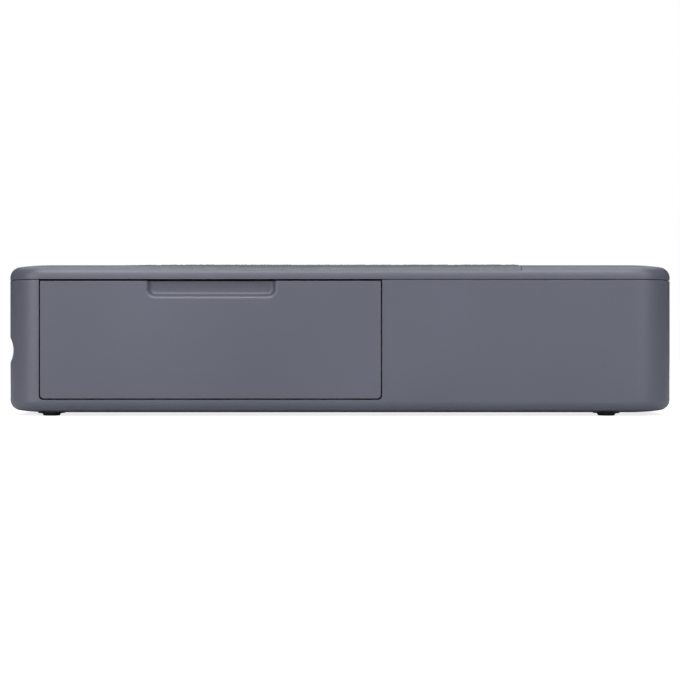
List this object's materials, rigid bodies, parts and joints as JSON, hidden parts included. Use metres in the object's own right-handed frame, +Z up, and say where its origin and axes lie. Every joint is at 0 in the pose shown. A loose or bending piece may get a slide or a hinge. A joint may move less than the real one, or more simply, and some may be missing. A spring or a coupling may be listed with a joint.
{
  "type": "compact photo printer",
  "caption": "Pocket photo printer: rounded case, full-length hinged cover over a sheet tray, drop-down side door with ribbon cassette, pivoting print head, geared paper feed.",
  "frame": {"origin": "under the middle of the case, on the plane of the four foot bottoms", "axes": "+X to the rear of the printer (paper leaves at -X), +Z up, -Y is the side with the ink door"},
  "size_m": [0.1458, 0.1022, 0.033],
  "materials": {
    "case_plastic": "fine-grained matte moulding",
    "dark_plastic": "matte moulding",
    "tray_plastic": "satin moulding",
    "gear_plastic": "natural acetal, satin",
    "lever_plastic": "satin moulding",
    "cassette_plastic": "satin moulding",
    "spool_plastic": "satin moulding",
    "light_pipe": "clear moulding",
    "sheet_steel": "zinc-plated sheet",
    "pin_steel": "ground steel",
    "screw_steel": "black zinc",
    "motor_steel": "drawn can",
    "brass": "machined",
    "aluminium": "extruded",
    "heater_ceramic": "glazed ceramic",
    "roller_rubber": "ground rubber",
    "foot_rubber": "moulded rubber",
    "pad_cork": "cork and rubber",
    "ink_film": "dye film",
    "clear_film": "used dye film",
    "cell_wrap": "shrink sleeve",
    "board": "solder mask",
    "chips": "moulded epoxy",
    "port_steel": "nickel-plated"
  },
  "bodies": {
    "root": {"lower_case": "case_plastic", "rubber_feet": "foot_rubber", "near_side_plate": "sheet_steel", "far_side_plate": "sheet_steel", "cross_bars": "sheet_steel", "inner_deck": "dark_plastic", "paper_tray": "tray_plastic", "battery_pack": "cell_wrap", "main_board": "board", "board_parts": "chips", "usb_port": "port_steel", "front_paper_guide": "dark_plastic", "rear_paper_guide": "dark_plastic", "feed_motor": "motor_steel", "ribbon_motor": "motor_steel", "head_pivot_shaft": "pin_steel", "gear_studs": "pin_steel", "button_board": "board", "status_light": "light_pipe", "case_screws": "screw_steel", "deck_screws": "screw_steel", "head_springs": "pin_steel", "lift_springs": "pin_steel"},
    "cover": {"top_cover": "case_plastic", "cover_inner_plate": "dark_plastic", "cover_hinge_pins": "pin_steel"},
    "door": {"ink_door": "case_plastic", "door_hinge_pins": "pin_steel"},
    "eject": {"eject_lever": "lever_plastic"},
    "cassette": {"cassette_shell": "cassette_plastic", "cassette_grip": "cassette_plastic", "ribbon_film": "ink_film"},
    "supply": {"supply_spool": "spool_plastic", "supply_roll": "ink_film"},
    "take_up": {"take_up_spool": "spool_plastic", "take_up_roll": "clear_film"},
    "print_head": {"head_bracket": "aluminium", "heater_board": "heater_ceramic", "heat_sink": "aluminium"},
    "sheet_lift": {"lift_plate": "sheet_steel", "separation_pad": "pad_cork"},
    "power": {"power_button": "case_plastic"},
    "platen": {"platen_roller": "roller_rubber", "platen_drive": "gear_plastic"},
    "pinion": {"motor_pinion": "brass"},
    "compound": {"compound_gear": "gear_plastic"},
    "idler": {"idler_gear": "gear_plastic"},
    "grip": {"grip_roller": "pin_steel"},
    "front_relay": {"front_relay_gear": "gear_plastic"},
    "rear_relay": {"rear_relay_gear": "gear_plastic"},
    "pickup": {"pickup_tyres": "roller_rubber", "pickup_drive": "gear_plastic"},
    "pinch": {"pinch_roller": "pin_steel"},
    "ribbon_drive": {"ribbon_pinion": "brass"},
    "ribbon_wheel": {"ribbon_idler": "gear_plastic"},
    "take_up_dog": {"take_up_drive": "gear_plastic"},
    "supply_dog": {"supply_brake": "gear_plastic"},
    "exit_drive": {"exit_roller": "roller_rubber"},
    "exit_wheel": {"exit_idler": "pin_steel"}
  },
  "joints": [
    {"name": "cover_hinge", "type": "hinge", "parent": "root", "child": "cover", "pos_m": [0.0706, 0, 0.03055], "axis": [0, 1, 0], "range_deg": [0, 75]},
    {"name": "door_hinge", "type": "hinge", "parent": "root", "child": "door", "pos_m": [-0.0277, -0.0495, 0.00556], "axis": [1, 0, 0], "range_deg": [0, 90]},
    {"name": "cassette_slide", "type": "slide", "parent": "root", "child": "cassette", "axis": [0, -1, 0], "range_m": [0, 0.003]},
    {"name": "eject_turn", "type": "hinge", "parent": "root", "child": "eject", "pos_m": [-0.028, -0.0446, 0.0112], "axis": [0, 0, 1], "range_deg": [-14.7, 0]},
    {"name": "take_up_turn", "type": "hinge", "parent": "cassette", "child": "take_up", "pos_m": [-0.053, 0, 0.021], "axis": [0, 1, 0], "continuous": true},
    {"name": "supply_turn", "type": "hinge", "parent": "cassette", "child": "supply", "pos_m": [0, 0, 0.021], "axis": [0, 1, 0], "continuous": true},
    {"name": "head_pivot_turn", "type": "hinge", "parent": "root", "child": "print_head", "pos_m": [-0.016, 0, 0.0216], "axis": [0, 1, 0], "range_deg": [0, 3], "stiffness_Nm_per_rad": 2, "springref_deg": -5.73, "deforming": ["head_springs"]},
    {"name": "sheet_lift_turn", "type": "hinge", "parent": "root", "child": "sheet_lift", "pos_m": [0.062, 0, 0.0102], "axis": [0, 1, 0], "range_deg": [0, 2.5], "deforming": ["lift_springs"]},
    {"name": "power_press", "type": "slide", "parent": "root", "child": "power", "axis": [0, -1, 0], "range_m": [0, 0.00045], "stiffness_N_per_m": 800, "springref_m": -0.0004},
    {"name": "platen_turn", "type": "hinge", "parent": "root", "child": "platen", "pos_m": [-0.028, 0, 0.00885], "axis": [0, 1, 0], "continuous": true},
    {"name": "pinion_turn", "type": "hinge", "parent": "root", "child": "pinion", "pos_m": [-0.04389, 0, 0.00705], "axis": [0, 1, 0], "continuous": true},
    {"name": "compound_turn", "type": "hinge", "parent": "root", "child": "compound", "pos_m": [-0.03527, 0, 0.01025], "axis": [0, 1, 0], "continuous": true},
    {"name": "idler_turn", "type": "hinge", "parent": "root", "child": "idler", "pos_m": [-0.01988, 0, 0.01274], "axis": [0, 1, 0], "continuous": true},
    {"name": "grip_turn", "type": "hinge", "parent": "root", "child": "grip", "pos_m": [-0.014, 0, 0.01155], "axis": [0, 1, 0], "continuous": true},
    {"name": "front_relay_turn", "type": "hinge", "parent": "root", "child": "front_relay", "pos_m": [-0.00664, 0, 0.01468], "axis": [0, 1, 0], "continuous": true},
    {"name": "rear_relay_turn", "type": "hinge", "parent": "root", "child": "rear_relay", "pos_m": [0.00532, 0, 0.01573], "axis": [0, 1, 0], "continuous": true},
    {"name": "pickup_turn", "type": "hinge", "parent": "root", "child": "pickup", "pos_m": [0.016, 0, 0.0173], "axis": [0, 1, 0], "continuous": true},
    {"name": "pinch_turn", "type": "hinge", "parent": "root", "child": "pinch", "pos_m": [-0.014, 0, 0.01475], "axis": [0, 1, 0], "continuous": true},
    {"name": "ribbon_pinion_turn", "type": "hinge", "parent": "root", "child": "ribbon_drive", "pos_m": [-0.0575, 0, 0.00705], "axis": [0, 1, 0], "continuous": true},
    {"name": "ribbon_idler_turn", "type": "hinge", "parent": "root", "child": "ribbon_wheel", "pos_m": [-0.05153, 0, 0.0103], "axis": [0, 1, 0], "continuous": true},
    {"name": "take_up_dog_turn", "type": "hinge", "parent": "root", "child": "take_up_dog", "pos_m": [-0.053, 0, 0.021], "axis": [0, 1, 0], "continuous": true},
    {"name": "supply_dog_turn", "type": "hinge", "parent": "root", "child": "supply_dog", "pos_m": [0, 0, 0.021], "axis": [0, 1, 0], "continuous": true},
    {"name": "exit_turn", "type": "hinge", "parent": "root", "child": "exit_drive", "pos_m": [-0.0656, 0, 0.01105], "axis": [0, 1, 0], "continuous": true},
    {"name": "exit_idler_turn", "type": "hinge", "parent": "root", "child": "exit_wheel", "pos_m": [-0.0656, 0, 0.01505], "axis": [0, 1, 0], "continuous": true}
  ],
  "couplings": [
    {"joint": "eject_turn", "follows": "cassette_slide", "rad_per_m": -84.358},
    {"joint": "compound_turn", "follows": "platen_turn", "ratio": -2.0833},
    {"joint": "pinion_turn", "follows": "platen_turn", "ratio": 7.5},
    {"joint": "idler_turn", "follows": "platen_turn", "ratio": -1.25},
    {"joint": "grip_turn", "follows": "platen_turn", "ratio": 2.5},
    {"joint": "front_relay_turn", "follows": "platen_turn", "ratio": -0.83333},
    {"joint": "rear_relay_turn", "follows": "platen_turn", "ratio": 0.83333},
    {"joint": "pickup_turn", "follows": "platen_turn", "ratio": -1.0417},
    {"joint": "pinch_turn", "follows": "platen_turn", "ratio": -3.4615},
    {"joint": "supply_turn", "follows": "take_up_turn", "ratio": 0.65385},
    {"joint": "take_up_dog_turn", "follows": "take_up_turn", "ratio": 1},
    {"joint": "supply_dog_turn", "follows": "take_up_turn", "ratio": 0.65385},
    {"joint": "ribbon_idler_turn", "follows": "take_up_turn", "ratio": -1.25},
    {"joint": "ribbon_pinion_turn", "follows": "take_up_turn", "ratio": 3},
    {"joint": "exit_idler_turn", "follows": "exit_turn", "ratio": -1.4375}
  ]
}
